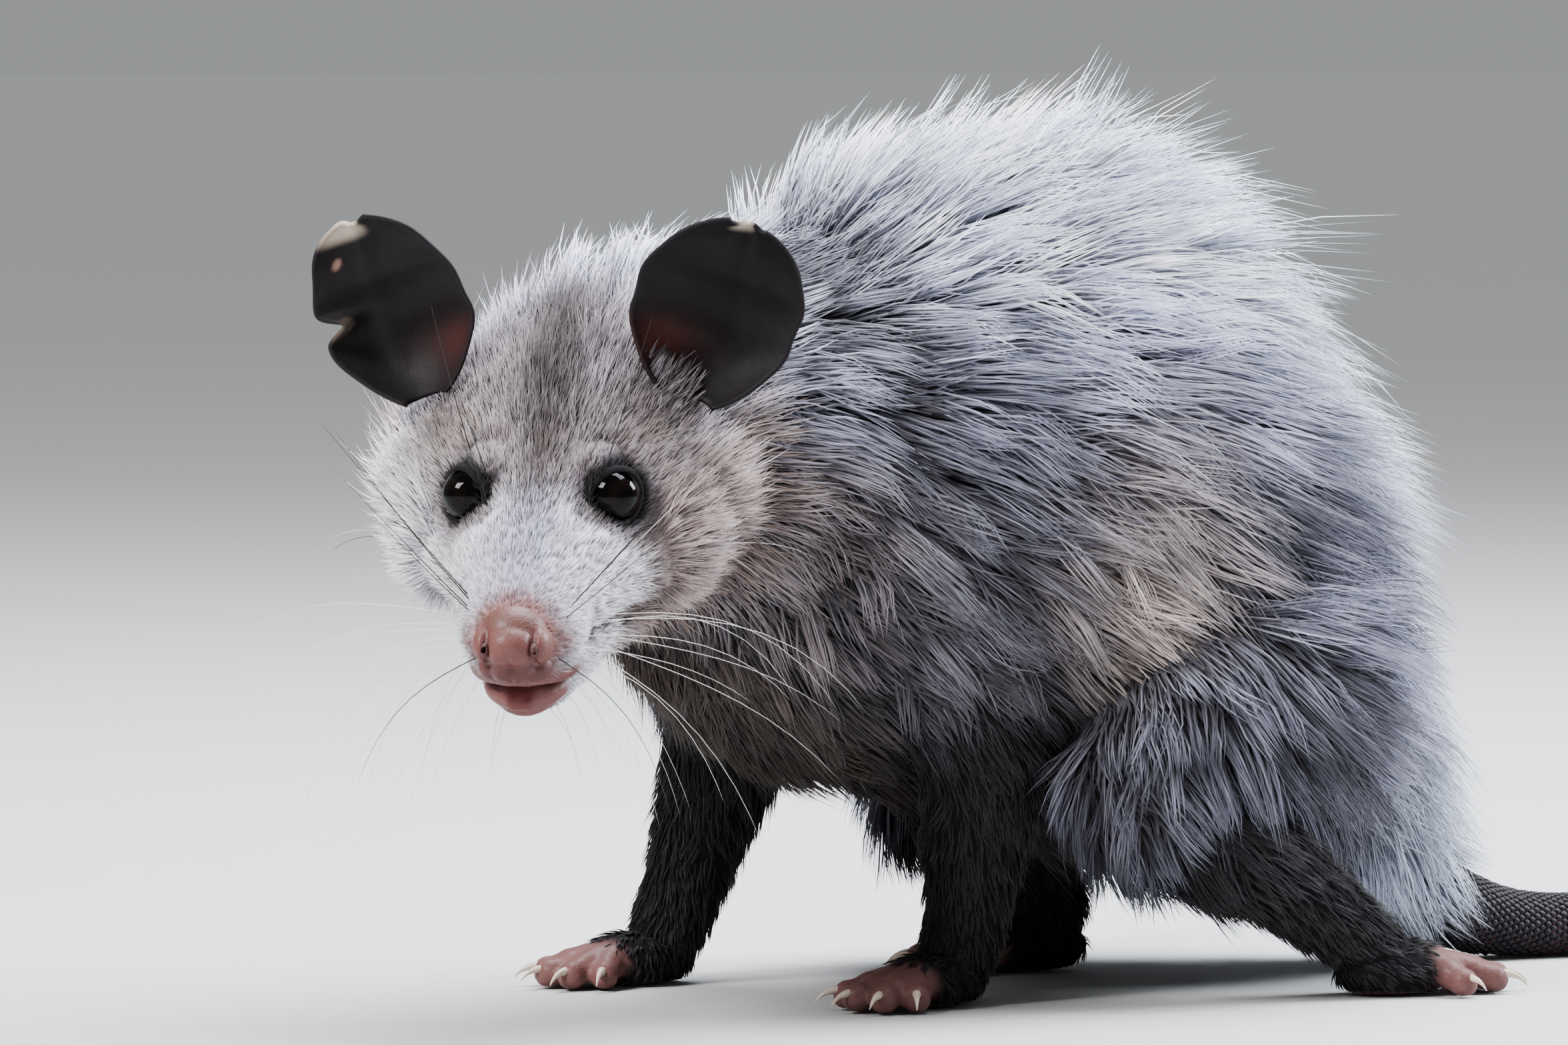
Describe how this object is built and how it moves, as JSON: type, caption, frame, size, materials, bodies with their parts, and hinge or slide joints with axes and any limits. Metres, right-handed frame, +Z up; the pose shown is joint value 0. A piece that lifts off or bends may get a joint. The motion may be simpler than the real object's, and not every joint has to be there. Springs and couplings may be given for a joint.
{
  "type": "opossum",
  "caption": "Still life-size opossum standing hunched, with a shaggy grizzled coat, the head turned aside and the bare tail lying behind.",
  "frame": {"origin": "on the floor, under the middle of the model's box", "axes": "+Z up, -X the way the body faces, +X towards the tail, +Y the animal's right"},
  "size_m": [0.604, 0.1922, 0.2315],
  "materials": {
    "grey_coat": "long grizzled guard hair",
    "face_fur": "short pale fur",
    "leg_fur": "short black fur",
    "bare_pink": "moist bare skin",
    "ear_skin": "thin black skin",
    "eye": "wet dark eye",
    "tail_dark": "scaly bare skin",
    "tail_pale": "scaly bare skin"
  },
  "bodies": {
    "root": {"head": "face_fur", "jaw": "face_fur", "nose": "bare_pink", "eye_left": "eye", "eye_right": "eye", "ear_left": "ear_skin", "ear_right": "ear_skin", "neck": "grey_coat", "shoulders": "grey_coat", "back": "grey_coat", "rump": "grey_coat", "thigh_left": "grey_coat", "thigh_right": "grey_coat", "foreleg_left": "leg_fur", "foreleg_right": "leg_fur", "hindleg_left": "leg_fur", "hindleg_right": "leg_fur", "forepaw_left": "bare_pink", "forepaw_right": "bare_pink", "hindfoot_left": "bare_pink", "hindfoot_right": "bare_pink", "tail_base": "leg_fur", "tail_middle": "tail_dark", "tail_tip": "tail_pale"}
  },
  "joints": []
}
